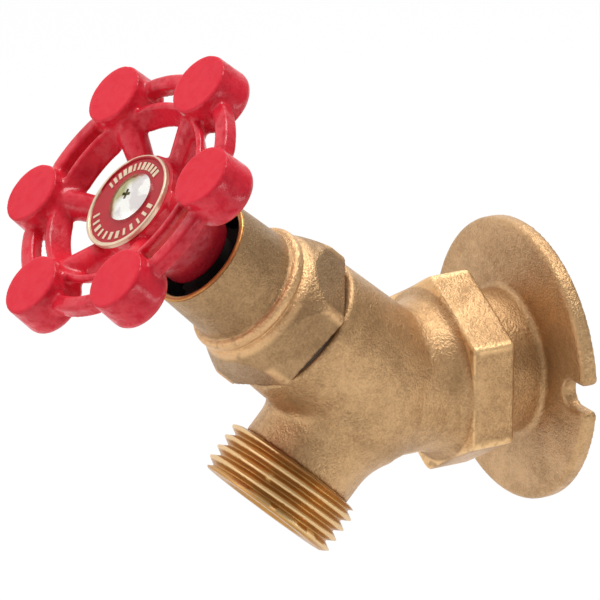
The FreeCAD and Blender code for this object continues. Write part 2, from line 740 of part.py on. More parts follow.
def make_stem():
    """The stem: foot with its socket, coarse thread, smooth shank and the square for the wheel."""
    stem = turned_piece("stem", [
        ("0", STEM_FOOT),
        ("stem_foot_radius", STEM_FOOT, "slot_flat"),
        ("stem_foot_radius", THREAD_FOOT, "slot_flat"),
        ("stem_thread_radius", THREAD_FOOT),
        ("stem_thread_radius", f"{THREAD_TOP} - stem_thread_depth"),
        ("stem_thread_radius - stem_thread_depth", THREAD_TOP),
        ("stem_shank_radius", THREAD_TOP),
        ("stem_shank_radius", HUB_FOOT),
        ("0", HUB_FOOT),
    ])
    cut_thread(stem, "stem_thread", "stem_thread_radius", f"({THREAD_FOOT} + 3 / 2 * stem_thread_pitch)",
               "(stem_thread_length - stem_thread_pitch)", "stem_thread_pitch", "stem_thread_depth",
               "stem_crest_flat", "stem_root_flat")
    half = "stem_square / 2"
    add_pad(stem, "wheel_square", [
        (f"-{half}", f"-{half}", "slot_flat"),
        (half, f"-{half}", "slot_flat"),
        (half, half, "slot_flat"),
        (f"-{half}", half, "slot_flat"),
    ], HUB_FOOT, "stem_square_length")
    cut_groove(stem, "spigot_socket", [
        ("0", f"{STEM_FOOT} - cutter_overrun"),
        ("spigot_radius + shaft_play", f"{STEM_FOOT} - cutter_overrun"),
        ("spigot_radius + shaft_play", f"{CUP_TOP} + spigot_length + bib_hole_spare"),
        ("0", f"{CUP_TOP} + spigot_length + bib_hole_spare"),
    ])
    cut_groove(stem, "clip_seat", [
        ("spigot_radius", f"{CUP_TOP} + clip_height - shaft_play"),
        ("spigot_radius + clip_width / 2 + shaft_play", f"{CUP_TOP} + clip_height - shaft_play"),
        ("spigot_radius + clip_width / 2 + shaft_play",
         f"{CUP_TOP} + clip_height + clip_thickness + shaft_play"),
        ("spigot_radius", f"{CUP_TOP} + clip_height + clip_thickness + shaft_play"),
    ])
    cut_groove(stem, "wheel_screw_hole", [
        ("0", f"{PLATE_TOP} - screw_shank_length - bib_hole_spare"),
        ("screw_shank_radius + thread_play", f"{PLATE_TOP} - screw_shank_length - bib_hole_spare"),
        ("screw_shank_radius + thread_play", f"{SQUARE_TOP} + cutter_overrun"),
        ("0", f"{SQUARE_TOP} + cutter_overrun"),
    ])
    return on_stem(stem, "knob_turn")


def make_packing():
    """Washer, two graphite rings, gland and nut, stacked in the bonnet's packing box."""
    wall = "packing_box_radius - thread_play"
    pieces = []
    foot = PACKING_FLOOR
    for label, height in (
        ("packing_washer", "packing_washer_thickness"),
        ("packing_ring_lower", "packing_ring_height"),
        ("packing_ring_upper", "packing_ring_height"),
        ("packing_gland", "gland_height"),
    ):
        top = f"({foot} + {height})"
        pieces.append(on_stem(turned_piece(label, [
            (STEM_BORE, foot),
            (wall, foot, "slot_flat"),
            (wall, top, "slot_flat"),
            (STEM_BORE, top),
        ])))
        foot = top
    return pieces + [make_packing_nut(foot)]


def make_packing_nut(foot):
    """The nut that screws into the packing box and presses on the gland."""
    shoulder = f"({foot} + packing_nut_shank)"
    top = f"({shoulder} + packing_nut_height)"
    shank = turned_piece("packing_nut_shank_form", [
        ("0", foot),
        ("packing_box_radius - thread_play", foot, "slot_flat"),
        ("packing_box_radius - thread_play", shoulder),
        ("0", shoulder),
    ])
    bar = new_body("packing_nut_head_form")
    add_pad(bar, "packing_nut_head", hexagon("packing_nut_flats", "slot_flat"),
            shoulder, "packing_nut_height")
    hole = turned_piece("packing_nut_hole_form", [
        ("0", f"{foot} - cutter_overrun"),
        (STEM_BORE, f"{foot} - cutter_overrun"),
        (STEM_BORE, f"{top} + cutter_overrun"),
        ("0", f"{top} + cutter_overrun"),
    ])
    return on_stem(carved("packing_nut", joined("packing_nut_form", [shank, bar]), hole))


def make_handwheel():
    """The cast wheel: dished hub, six spokes, six round knobs and two rails between them."""
    hub = turned_piece("hub_form", [
        ("0", HUB_FOOT),
        ("hub_mouth_radius", HUB_FOOT, "hub_mouth_edge"),
        ("hub_mouth_radius", f"{HUB_FOOT} + hub_waist_height"),
        ("hub_top_radius", f"{HUB_TOP} - hub_rim_height"),
        ("hub_top_radius", HUB_TOP, "slot_flat"),
        ("0", HUB_TOP),
    ])
    arms = []
    for arm in range(KNOBS):
        angle = 360 / KNOBS * arm
        arms.append(make_spoke(f"spoke_form_{arm + 1}", angle))
        arms.append(make_knob(f"knob_form_{arm + 1}", angle))
    socket = turned_piece("wheel_screw_clearance_form", [
        ("0", HUB_FOOT),
        ("screw_shank_radius + screw_hole_play", HUB_FOOT),
        ("screw_shank_radius + screw_hole_play", f"{HUB_TOP} + cutter_overrun"),
        ("0", f"{HUB_TOP} + cutter_overrun"),
    ])
    half = "(stem_square / 2 + socket_play)"
    add_pad(socket, "square_socket", [
        (f"-{half}", f"-{half}"),
        (half, f"-{half}"),
        (half, half),
        (f"-{half}", half),
    ], f"{HUB_FOOT} - cutter_overrun", "stem_square_length + socket_spare + cutter_overrun")
    casting = joined("wheel_form", [hub] + arms + make_rails())
    return on_stem(carved("handwheel", casting, socket), "knob_turn")


def make_rails():
    """The two rings that run from knob to knob: the inner one leans in towards its back."""
    foot = f"{RAIL_TOP} - inner_rail_depth"
    inner = turned_piece("inner_rail_form", [
        ("inner_rail_radius - inner_rail_lean", foot, "rail_edge"),
        ("inner_rail_radius - inner_rail_lean + inner_rail_width", foot, "rail_edge"),
        ("inner_rail_radius + inner_rail_width", f"{RAIL_TOP} - inner_rail_width"),
        ("inner_rail_radius + inner_rail_width", RAIL_TOP, "rail_edge"),
        ("inner_rail_radius", RAIL_TOP, "rail_edge"),
    ])
    outer = turned_piece("outer_rail_form", [
        ("outer_rail_radius - outer_rail_width", f"{RAIL_TOP} - outer_rail_depth", "rail_edge"),
        ("outer_rail_radius", f"{RAIL_TOP} - outer_rail_depth", "rail_edge"),
        ("outer_rail_radius", RAIL_TOP, "outer_rail_edge"),
        ("outer_rail_radius - outer_rail_width", RAIL_TOP, "outer_rail_edge"),
    ])
    return [inner, outer]


def make_knob(name, angle):
    """One round knob with a flat face and a rounded back."""
    knob = turned_piece(name, [
        ("0", f"{KNOB_TOP} - knob_depth"),
        ("knob_back_radius", f"{KNOB_TOP} - knob_depth", "knob_back_edge"),
        ("knob_radius", KNOB_TOP, "knob_face_edge"),
        ("0", KNOB_TOP),
    ])
    knob.setExpression("Placement.Base.x", bound(f"knob_circle * cos({angle})"))
    knob.setExpression("Placement.Base.y", bound(f"knob_circle * sin({angle})"))
    return knob


def make_spoke(name, angle):
    """One round spoke that climbs from the dished hub and thickens towards its knob."""
    spoke = doc.addObject("Part::Cone", name)
    tie(spoke, Radius1="spoke_radius", Radius2="spoke_end_radius",
        Height="(spoke_end - spoke_root) / cos(spoke_slope)")
    spoke.setExpression("Placement.Base.x", bound(f"spoke_root * cos({angle})"))
    spoke.setExpression("Placement.Base.y", bound(f"spoke_root * sin({angle})"))
    spoke.setExpression("Placement.Base.z", bound(f"{HUB_TOP} - spoke_drop"))
    turning = f"rotation(vector(0; 0; 1); {angle})"
    climbing = "rotation(vector(0; 1; 0); 90 - spoke_slope)"
    spoke.setExpression("Placement.Rotation", bound(f"{turning} * {climbing}"))
    return spoke


def make_index_plate():
    """The enamelled disc with a raised rim, punched a little off its own centre."""
    disc = on_stem(turned_piece("plate_disc_form", [
        ("0", HUB_TOP),
        ("plate_radius", HUB_TOP),
        ("plate_radius", f"{PLATE_TOP} + plate_rim_height", "plate_rim_edge"),
        ("plate_radius - plate_rim_width", f"{PLATE_TOP} + plate_rim_height", "plate_rim_edge"),
        ("plate_radius - plate_rim_width", PLATE_TOP),
        ("0", PLATE_TOP),
    ]), offset="-plate_drop")
    disc.setExpression("Placement.Base.x", bound("-plate_shift"))
    hole = on_stem(turned_piece("plate_hole_form", [
        ("0", f"{HUB_TOP} - cutter_overrun"),
        ("screw_shank_radius + screw_hole_play", f"{HUB_TOP} - cutter_overrun"),
        ("screw_shank_radius + screw_hole_play", f"{PLATE_TOP} + cutter_overrun"),
        ("0", f"{PLATE_TOP} + cutter_overrun"),
    ]))
    return carved("index_plate", disc, hole)


def make_wheel_screw():
    """The domed cross-recess screw that holds plate and wheel on the stem."""
    screw = turned_piece("wheel_screw", [
        ("0", f"{PLATE_TOP} - screw_shank_length"),
        ("screw_shank_radius", f"{PLATE_TOP} - screw_shank_length", "slot_flat"),
        ("screw_shank_radius", PLATE_TOP),
        ("screw_head_radius", PLATE_TOP),
        ("screw_head_radius", f"{PLATE_TOP} + screw_rim_height"),
        ("screw_crown_radius", f"{PLATE_TOP} + screw_head_height", "screw_crown_edge"),
        ("0", f"{PLATE_TOP} + screw_head_height"),
    ])
    long, short = "screw_recess_span / 2", "screw_recess_width / 2"
    cross = [
        (long, f"-{short}"), (long, short), (short, short),
        (short, long), (f"-{short}", long), (f"-{short}", short),
        (f"-({long})", short), (f"-({long})", f"-{short}"), (f"-{short}", f"-{short}"),
        (f"-{short}", f"-({long})"), (short, f"-({long})"), (short, f"-{short}"),
    ]
    cut_pocket(screw, "cross_recess", cross, f"{PLATE_TOP} + screw_head_height - screw_recess_depth",
               "screw_recess_depth + cutter_overrun")
    return on_stem(screw, "knob_turn")


def main():
    pieces = [
        make_valve_body(),
        make_bonnet(),
        make_bonnet_gasket(),
        make_seat_washer(),
        make_disc_holder(),
        make_holder_clip(),
        make_bib_screw(),
        make_stem(),
        *make_packing(),
        make_handwheel(),
        make_index_plate(),
        make_wheel_screw(),
    ]
    doc.recompute()
    failed = [thing.Label for thing in doc.Objects if {"Invalid", "Error"} & set(thing.State)]
    if failed:
        raise RuntimeError(f"these did not build: {failed}")
    os.makedirs("parts", exist_ok=True)
    for piece in pieces:
        shape = piece.Shape
        if shape.isNull() or not shape.isValid():
            raise RuntimeError(f"{piece.Label} has no valid shape")
        shape.exportStep(f"parts/{piece.Label}.step")
        print(piece.Label, len(shape.Solids), round(shape.Volume, 1))


main()
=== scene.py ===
import json
import math

import bmesh
import bpy
import numpy as np
from bpy.props import FloatProperty, FloatVectorProperty, IntProperty, PointerProperty
from bpy.types import Operator, Panel, PropertyGroup
from mathutils import Matrix, Vector
from mathutils.bvhtree import BVHTree
from mathutils.kdtree import KDTree


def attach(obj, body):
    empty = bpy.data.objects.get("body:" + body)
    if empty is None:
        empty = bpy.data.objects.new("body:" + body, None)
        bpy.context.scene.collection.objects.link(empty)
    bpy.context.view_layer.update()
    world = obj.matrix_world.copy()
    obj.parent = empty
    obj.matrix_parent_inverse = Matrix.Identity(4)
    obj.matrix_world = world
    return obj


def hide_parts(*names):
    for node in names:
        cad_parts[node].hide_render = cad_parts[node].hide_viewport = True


bl_info = {
    "name": "Sillcock looks",
    "version": (1, 0, 0),
    "blender": (4, 5, 0),
    "location": "3D View > Sidebar > Sillcock",
    "description": "Dresses a brass wall tap with a red handwheel on its CAD frame",
    "category": "Object",
}

MM = 0.001

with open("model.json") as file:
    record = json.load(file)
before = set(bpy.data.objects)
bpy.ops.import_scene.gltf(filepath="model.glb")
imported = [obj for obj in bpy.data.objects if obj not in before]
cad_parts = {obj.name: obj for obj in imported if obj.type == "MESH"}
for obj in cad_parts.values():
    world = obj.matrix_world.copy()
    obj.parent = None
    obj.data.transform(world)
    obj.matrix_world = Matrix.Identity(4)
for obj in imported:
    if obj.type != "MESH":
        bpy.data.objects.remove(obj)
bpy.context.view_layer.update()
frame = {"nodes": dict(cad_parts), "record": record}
JOINTS = {joint["name"]: joint for joint in frame["record"]["behaviour"]["joints"]}
MOUNTS = {mount["name"]: mount for mount in frame["record"]["mounts"]}

# The direction across the part, and the two slanted axes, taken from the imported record
ACROSS = Vector((1, 0, 0))
STEM_AXIS = Vector(JOINTS["wheel_turn"]["axis"]).normalized()
STEM_START = Vector(JOINTS["wheel_turn"]["pos_m"])
SPOUT_AXIS = Vector(MOUNTS["hose_thread"]["axis"]).normalized()
SPOUT_END = Vector(MOUNTS["hose_thread"]["pos_m"])
THREAD_LENGTH = MOUNTS["hose_thread"]["dims"]["length_mm"]
THREAD_RADIUS = MOUNTS["hose_thread"]["dims"]["r_mm"]

# The inlet's hexagon in millimetres: its start and end, from the wall, and the radius of its corners
INLET_AXIS = Vector((0, -1, 0))
INLET_HEX_START = 11.1
INLET_HEX_END = 19.5
INLET_CORNER = 18.59

# Heights along the stem's axis, in millimetres from where it crosses the inlet's axis
HEX_TOP = 31.8
HOOD_FLOOR = 39.1
HUB_FOOT = 46.2
HOOD_TOP = 46.7
PLATE_TOP = 63.8
SCREW_TOP = 65.1
KNOB_TOP = 68.3

# The height of the hood's machined lip, and of the painted shade at the foot of the hub, in millimetres
LIP_HEIGHT = 0.5
HUB_SHADE_HEIGHT = 11

# Radii around the stem's axis, in millimetres
HEX_CORNER = 15.01
HOOD_BORE = 9.34
PLATE_RIM = 8.84
RECESS_RADIUS = 1.5

# How far the plate's middle lies below the stem's axis and to its left, in millimetres
PLATE_DROP = 0.85
PLATE_SHIFT = 0.5

# The hose thread stays the CAD's own: how far behind its start it is cut from the body, and how far the
# body's skin overlaps it, in millimetres
THREAD_MARGIN = 0.15
THREAD_OVERLAP = 0.1

# Corners of a CAD mesh closer than this are one
MERGE_REACH = 0.002 * MM

# An edge that turns more than this is a corner. An inner corner nearer than this to an outer edge isn't
# rounded, because most of those are wrinkles in the thin triangles of the CAD mesh's own fillets
SHARP_TURN = math.radians(32)
WRINKLE_REACH = 0.35 * MM

# The spacing of the spots along a corner, as a share of the skin's grid
SPOT_SHARE = 0.2

# How a skin is evened out: rounds, steps in each round and the weight of a step
EVEN_ROUNDS = 3
EVEN_STEPS = 2
EVEN_WEIGHT = 0.8

# The share of the way to its neighbours' mean that a point of full weight moves in a step
RELAX_SHARE = 0.6

# The two arcs of marks: name, start and sweep in degrees, and seed
MARK_ARCS = (("upper_marks", 70, 102, 3), ("lower_marks", 224, 146, 8))

# The narrowest and the widest mark, as shares of the mark width
MARK_NARROWEST = 0.7
MARK_WIDEST = 1.5

# The cast brass: how metallic it is, how much lighter the painted highlights along its edges are, and how
# rough a machined place
CAST_METALLIC = 0.84
HIGHLIGHT_GAIN = 1.6
CUT_ROUGHNESS = 0.36

# Colours of the painted shade inside the hood and on the stem and nut within it, of the screw's plating and
# its painted reflection, and of the inner pieces, as linear values
HOOD_SHADE_BLACK = (0.006, 0.005, 0.004)
PAINTED_SHADE_BLACK = (0.012, 0.009, 0.007)
# The two greens are a painted reflection on the screw's plating
REFLECTED_GREEN = (0.46, 0.44, 0.15)
REFLECTED_DARK_GREEN = (0.24, 0.23, 0.08)
ZINC_GREY = (0.52, 0.44, 0.46)
RECESS_BROWN = (0.34, 0.30, 0.14)
STEEL = (0.5, 0.5, 0.5)
FIBRE = (0.10, 0.06, 0.035)
RUBBER = (0.02, 0.02, 0.02)
GRAPHITE = (0.04, 0.04, 0.045)


class SillcockSizes(PropertyGroup):
    """Sizes of the cast surfaces and of the plate's marks."""

    body_voxel: FloatProperty(name="Body grid", description="Spacing of the body's skin",
                              default=0.45 * MM, unit="LENGTH", precision=5)
    bonnet_voxel: FloatProperty(name="Bonnet grid", description="Spacing of the bonnet's skin",
                                default=0.31 * MM, unit="LENGTH", precision=5)
    wheel_voxel: FloatProperty(name="Wheel grid", description="Spacing of the handwheel's skin",
                               default=0.32 * MM, unit="LENGTH", precision=5)
    body_crease: FloatProperty(name="Body fillet", description="Reach of the fillets on the body",
                               default=3.2 * MM, unit="LENGTH", precision=5)
    bonnet_crease: FloatProperty(name="Bonnet fillet", description="Reach of the fillets on the bonnet",
                                 default=0.7 * MM, unit="LENGTH", precision=5)
    wheel_crease: FloatProperty(name="Wheel fillet", description="Reach of the fillets at spokes and knobs",
                                default=1.5 * MM, unit="LENGTH", precision=5)
    mark_count: IntProperty(name="Marks", description="Raised marks in each arc of the plate", default=12)
    mark_length: FloatProperty(name="Mark length", description="Length of a mark towards the plate's centre",
                               default=1.5 * MM, unit="LENGTH", precision=5)
    mark_width: FloatProperty(name="Mark width", description="Width of a mark along its arc",
                              default=0.55 * MM, unit="LENGTH", precision=5)
    mark_height: FloatProperty(name="Mark height", description="How far a mark stands up from the plate",
                               default=0.12 * MM, unit="LENGTH", precision=5)
    mark_radius: FloatProperty(name="Mark radius", description="Radius of the two arcs of marks",
                               default=7.0 * MM, unit="LENGTH", precision=5)


class SillcockColours(PropertyGroup):
    """Colours of the finishes, as linear values."""

    brass_light: FloatVectorProperty(name="Brass", description="Bright grains of the cast brass",
                                     default=(0.67, 0.415, 0.203), subtype="COLOR", min=0, max=1)
    brass_dark: FloatVectorProperty(name="Brass shade", description="Dull patches of the cast brass",
                                    default=(0.40, 0.235, 0.107), subtype="COLOR", min=0, max=1)
    brass_cut: FloatVectorProperty(name="Cut brass", description="Machined brass of grooves and rims",
                                   default=(0.66, 0.34, 0.10), subtype="COLOR", min=0, max=1)
    # The crest colour is a painted highlight on the thread's crests
    crest_highlight: FloatVectorProperty(name="Crest brass", description="Polished brass of the thread's crests",
                                     default=(0.80, 0.54, 0.26), subtype="COLOR", min=0, max=1)
    wheel_red: FloatVectorProperty(name="Wheel red", description="Paint of the handwheel",
                                   default=(0.70, 0.016, 0.036), subtype="COLOR", min=0, max=1)
    enamel_red: FloatVectorProperty(name="Enamel red", description="Enamel of the index plate",
                                    default=(0.50, 0.012, 0.022), subtype="COLOR", min=0, max=1)
    gold: FloatVectorProperty(name="Gold", description="Bare rim and marks of the index plate",
                              default=(0.86, 0.70, 0.50), subtype="COLOR", min=0, max=1)
    zinc: FloatVectorProperty(name="Zinc", description="Plating of the wheel's screw",
                              default=(0.86, 0.85, 0.80), subtype="COLOR", min=0, max=1)


class Flow:
    """An output of a look's nodes that can be worked with like a number."""

    def __init__(self, look, socket):
        self.look = look
        self.socket = socket

    def __add__(self, other):
        return self.look.maths("ADD", self, other)

    def __sub__(self, other):
        return self.look.maths("SUBTRACT", self, other)

    def __rsub__(self, other):
        return self.look.maths("SUBTRACT", other, self)

    def __mul__(self, other):
        return self.look.maths("MULTIPLY", self, other)

    def __truediv__(self, other):
        return self.look.maths("DIVIDE", self, other)

    __radd__ = __add__
    __rmul__ = __mul__

    def ramp(self, low, high):
        """Climb smoothly from 0 at low to 1 at high."""
        return self.look.add("ShaderNodeMapRange", {"interpolation_type": "SMOOTHSTEP"},
                             {"Value": self, "From Min": low, "From Max": high})


class Look:
    """The nodes of one material or world, which read places in the object's own space."""

    def __init__(self, owner):
        owner.use_nodes = True
        self.owner = owner
        self.tree = owner.node_tree
        self.tree.nodes.clear()
        self.place = self.add("ShaderNodeTexCoord", out="Object")

    def add(self, kind, settings=None, values=None, out=0):
        """Add a node, set it up, feed its inputs and return one of its outputs."""
        node = self.tree.nodes.new(kind)
        for name, setting in (settings or {}).items():
            setattr(node, name, setting)
        for name, given in (values or {}).items():
            socket = node.inputs[name]
            if isinstance(given, Flow):
                self.tree.links.new(given.socket, socket)
            else:
                socket.default_value = given
        return Flow(self, node.outputs[out]) if node.outputs else None

    def maths(self, operation, first, second):
        """Work out one number from two."""
        return self.add("ShaderNodeMath", {"operation": operation}, {0: first, 1: second})

    def mix(self, factor, first, second):
        """Blend two colours."""
        first, second = (colour if isinstance(colour, Flow) else (*colour, 1) for colour in (first, second))
        return self.add("ShaderNodeMix", {"data_type": "RGBA"}, {0: factor, 6: first, 7: second}, out=2)

    def noise(self, size_mm, detail=2, roughness=0.5, distortion=0):
        """Return soft noise whose blots are about this many millimetres across."""
        return self.add("ShaderNodeTexNoise", None, {
            "Vector": self.place, "Scale": 1 / (size_mm * MM), "Detail": detail,
            "Roughness": roughness, "Distortion": distortion,
        })

    def reach(self, start, axis):
        """Return the distance along an axis from its start, in millimetres."""
        offset = self.add("ShaderNodeVectorMath", {"operation": "SUBTRACT"}, {0: self.place, 1: start})
        return self.add("ShaderNodeVectorMath", {"operation": "DOT_PRODUCT"},
                        {0: offset, 1: axis}, out="Value") / MM

    def radius(self, start, axis):
        """Return the distance from an axis, in millimetres."""
        offset = self.add("ShaderNodeVectorMath", {"operation": "SUBTRACT"}, {0: self.place, 1: start})
        side = self.add("ShaderNodeVectorMath", {"operation": "CROSS_PRODUCT"}, {0: offset, 1: axis})
        return self.add("ShaderNodeVectorMath", {"operation": "LENGTH"}, {0: side}, out="Value") / MM

    def finish(self, colour, roughness, metallic, height, depth_mm, **others):
        """Close the material with its shader, with a bump of this depth and any other named inputs."""
        bump = self.add("ShaderNodeBump", None, {
            "Height": height, "Distance": depth_mm * MM, "Strength": 1.0,
        })
        values = {"Base Color": colour, "Roughness": roughness, "Metallic": metallic, "Normal": bump}
        for name, given in others.items():
            values[" ".join(word[0].upper() + word[1:] for word in name.split("_"))] = given
        shader = self.add("ShaderNodeBsdfPrincipled", None, values, out="BSDF")
        self.add("ShaderNodeOutputMaterial", None, {"Surface": shader})
        return self.owner


def new_look(name):
    """Start a material of this name."""
    return Look(bpy.data.materials.new(name))


def darker(colour, share):
    """Return a colour with this share of its light."""
    return [part * share for part in colour]


def dress(node, material):
    """Give a CAD node its material."""
    target = frame["nodes"][node]
    target.data.materials.clear()
    target.data.materials.append(material)


def merged_copy(node):
    """Return a CAD node's mesh with its loose triangles joined up."""
    mesh = bmesh.new()
    mesh.from_mesh(frame["nodes"][node].data)
    bmesh.ops.remove_doubles(mesh, verts=mesh.verts, dist=MERGE_REACH)
    return mesh


def sharp_spots(mesh, least_turn, spacing):
    """Return closely set points along the mesh's inner corners and along its outer edges."""
    inner, outer = [], []
    for edge in mesh.edges:
        if len(edge.link_faces) != 2 or edge.calc_face_angle(0) < least_turn:
            continue
        one, other = edge.link_faces
        # The corner is hollow where the second face rises in front of the first
        hollow = (other.calc_center_median() - one.calc_center_median()).dot(one.normal) > 0
        start, end = (vert.co for vert in edge.verts)
        steps = max(1, math.ceil((end - start).length / spacing))
        spots = [start.lerp(end, step / steps) for step in range(steps + 1)]
        (inner if hollow else outer).extend(spots)
    return inner, outer


def tree_of(spots):
    """Return a search tree of points."""
    tree = KDTree(len(spots))
    for index, spot in enumerate(spots):
        tree.insert(spot, index)
    tree.balance()
    return tree


def nearness(points, tree, reach):
    """Return 1 at the tree's points, falling to 0 at the reach, for each point."""
    far = np.array([tree.find(point)[2] for point in points])
    share = np.clip(1 - far / reach, 0, 1)
    return share * share * (3 - 2 * share)


def points_of(mesh):
    """Return the places of a mesh's points."""
    points = np.empty(len(mesh.vertices) * 3, dtype=np.float32)
    mesh.vertices.foreach_get("co", points)
    return points.reshape(-1, 3).astype(float)


def edges_of(mesh):
    """Return the pairs of points that a mesh's edges join."""
    edges = np.empty(len(mesh.edges) * 2, dtype=np.int32)
    mesh.edges.foreach_get("vertices", edges)
    return edges.reshape(-1, 2)


def set_on_surface(points, surface):
    """Move each point to the nearest place on the surface."""
    for index, point in enumerate(points):
        points[index] = surface.find_nearest(Vector(point))[0]


def set_on_edges(points, tree, reach):
    """Move the points that lie near an outer edge onto it."""
    for index, point in enumerate(points):
        spot, _, far = tree.find(point)
        if far < reach:
            points[index] = spot


def relaxed(points, edges, weight, rounds):
    """Move each point towards the mean of its neighbours, by its weight, this many times."""
    first, second = edges.T
    count = np.bincount(np.concatenate([first, second]), minlength=len(points))
    for _ in range(rounds):
        total = np.empty_like(points)
        for axis in range(3):
            column = points[:, axis]
            total[:, axis] = (np.bincount(first, column[second], len(points))
                              + np.bincount(second, column[first], len(points)))
        mean = total / np.maximum(count, 1)[:, None]
        points = points + (weight * RELAX_SHARE)[:, None] * (mean - points)
    return points


def even_skin(mesh, name, grid):
    """Return an object of this name that covers a mesh with a skin of even squares."""
    data = bpy.data.meshes.new(name)
    mesh.to_mesh(data)
    piece = bpy.data.objects.new(name, data)
    bpy.context.scene.collection.objects.link(piece)
    remesh = piece.modifiers.new("skin", "REMESH")
    remesh.mode = "VOXEL"
    remesh.voxel_size = grid
    remesh.use_smooth_shade = True
    bpy.context.view_layer.update()
    skin = bpy.data.meshes.new_from_object(piece.evaluated_get(bpy.context.evaluated_depsgraph_get()))
    piece.modifiers.clear()
    piece.data = skin
    return piece


def cast_skin(mesh, name, grid, crease, crease_rounds, edge_pull, edge_reach, edge_rounds):
    """Rebuild a mesh as an even skin, rounded in its inner corners and eased along its edges.

    Points nearer to an outer edge than the pull are set on it, and those within the reach are eased.
    """
    true_surface = BVHTree.FromBMesh(mesh)
    inner_spots, outer_spots = sharp_spots(mesh, SHARP_TURN, grid * SPOT_SHARE)
    outer = tree_of(outer_spots)
    inner = tree_of([spot for spot in inner_spots if outer.find(spot)[2] > WRINKLE_REACH])
    piece = even_skin(mesh, name, grid)
    skin = piece.data
    points = points_of(skin)
    edges = edges_of(skin)
    set_on_surface(points, true_surface)
    for _ in range(EVEN_ROUNDS):
        points = relaxed(points, edges, np.full(len(points), EVEN_WEIGHT), EVEN_STEPS)
        set_on_surface(points, true_surface)
    set_on_edges(points, outer, edge_pull)
    points = relaxed(points, edges, nearness(points, inner, crease), crease_rounds)
    points = relaxed(points, edges, nearness(points, outer, edge_reach), edge_rounds)
    skin.vertices.foreach_set("co", points.astype(np.float32).ravel())
    skin.update()
    skin.shade_smooth()
    return piece


def stand_in(piece, node, body, material):
    """Show a piece in place of a CAD node, on that node's body."""
    piece.data.materials.clear()
    piece.data.materials.append(material)
    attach(piece, body)
    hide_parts(node)


def cast_grain(look):
    """Return the height, the dull share and the roughness of a sand-cast surface."""
    sand = look.noise(0.42, detail=3, roughness=0.65)
    pits = look.noise(1.3, detail=2, roughness=0.6)
    swell = look.noise(6, detail=2)
    blots = look.noise(9, detail=4, roughness=0.6, distortion=0.6)
    height = sand * 0.6 + pits * 0.4 + swell * 0.8
    dull = (sand * 0.7 + pits * 0.35 + blots * 0.8 - 0.45).ramp(0.22, 0.8)
    return height, dull, 0.31 + dull * 0.2


def cast_brass(name, colours, cut, edge_highlight, dark=None, painted_shade_tone=1.0):
    """Sand-cast brass, paler along its edges as painted highlight, and bright where the cut mask says that
    it is machined.

    Three functions add their masks to the look: the machined places, the painted edge highlights and, if
    given, the painted shade.
    """
    look = new_look(name)
    height, dull, roughness = cast_grain(look)
    # Every colour keeps the given share of its light: below 1, that is painted shade over the whole piece
    light = darker(colours.brass_light, painted_shade_tone)
    colour = look.mix(dull, light, darker(colours.brass_dark, painted_shade_tone))
    # Painted highlight: paler brass along the edges, broken up by noise
    highlight_mask = edge_highlight(look) * look.noise(1.6, detail=3).ramp(0.2, 0.5)
    highlight_colour = [min(1, part * HIGHLIGHT_GAIN) for part in light]
    colour = look.mix(highlight_mask * 0.85, colour, highlight_colour)
    mask, bright = cut(look, colours)
    colour = look.mix(mask, colour, bright)
    height = height * (1 - mask * 0.9)
    roughness = roughness * (1 - mask) + CUT_ROUGHNESS * mask
    metallic = CAST_METALLIC
    if dark:
        shade = dark(look)
        # Painted shade: black inside the hood, and less metallic there
        colour = look.mix(shade, colour, HOOD_SHADE_BLACK)
        metallic = metallic * (1 - shade)
    return look.finish(colour, roughness, metallic, height, depth_mm=0.34)


def inlet_highlight(look):
    """Mask the painted highlights on the corners of the inlet's hexagon and on its front rim."""
    along = look.reach(Vector(), INLET_AXIS)
    around = look.radius(Vector(), INLET_AXIS)
    corners = around.ramp(INLET_CORNER - 0.7, INLET_CORNER - 0.15)
    corners = corners * along.ramp(INLET_HEX_START - 2, INLET_HEX_START)
    rim = along.ramp(INLET_HEX_END - 0.45, INLET_HEX_END - 0.1)
    rim = rim * around.ramp(INLET_CORNER - 3, INLET_CORNER - 2.4)
    return look.maths("MAXIMUM", corners, rim) * (1 - along.ramp(INLET_HEX_END + 0.2, INLET_HEX_END + 0.5))


def bonnet_highlight(look):
    """Mask the painted highlights on the corners of the bonnet's hexagon and on its cone towards the bead.
    """
    height = look.reach(STEM_START, STEM_AXIS)
    around = look.radius(STEM_START, STEM_AXIS)
    corners = around.ramp(HEX_CORNER - 0.75, HEX_CORNER - 0.2)
    cone = height.ramp(HEX_TOP - 1.6, HEX_TOP - 0.6) * (1 - height.ramp(HEX_TOP + 2.6, HEX_TOP + 3))
    return look.maths("MAXIMUM", corners, cone)


def spout_cut(look, colours):
    """Mask and colour the machined hose end past the neck: crests paler as painted highlight over deeper
    coloured grooves.
    """
    reach = look.reach(SPOUT_END, SPOUT_AXIS)
    # Painted highlight: the crests are paler than the grooves
    crest = look.radius(SPOUT_END, SPOUT_AXIS).ramp(THREAD_RADIUS - 0.7, THREAD_RADIUS - 0.25)
    stain = look.noise(2.5, detail=3)
    groove = look.mix(stain, colours.brass_cut, darker(colours.brass_cut, 0.6))
    machined = reach.ramp(-THREAD_LENGTH - 0.35, -THREAD_LENGTH + 0.1)
    return machined, look.mix(crest, groove, colours.crest_highlight)


def hood_cut(look, colours):
    """Mask and colour the machined lip at the mouth of the bonnet's hood."""
    height = look.reach(STEM_START, STEM_AXIS)
    stain = look.noise(2.5, detail=3)
    lip = look.mix(stain, colours.brass_cut, darker(colours.brass_cut, 0.7))
    return height.ramp(HOOD_TOP - LIP_HEIGHT, HOOD_TOP - LIP_HEIGHT * 0.5), lip


def hood_shade(look):
    """Mask the inside of the hood, where black is painted as shade."""
    height = look.reach(STEM_START, STEM_AXIS)
    inside = 1 - look.radius(STEM_START, STEM_AXIS).ramp(HOOD_BORE - 0.14, HOOD_BORE)
    return inside * (1 - height.ramp(HOOD_TOP - LIP_HEIGHT, HOOD_TOP - LIP_HEIGHT * 0.6))


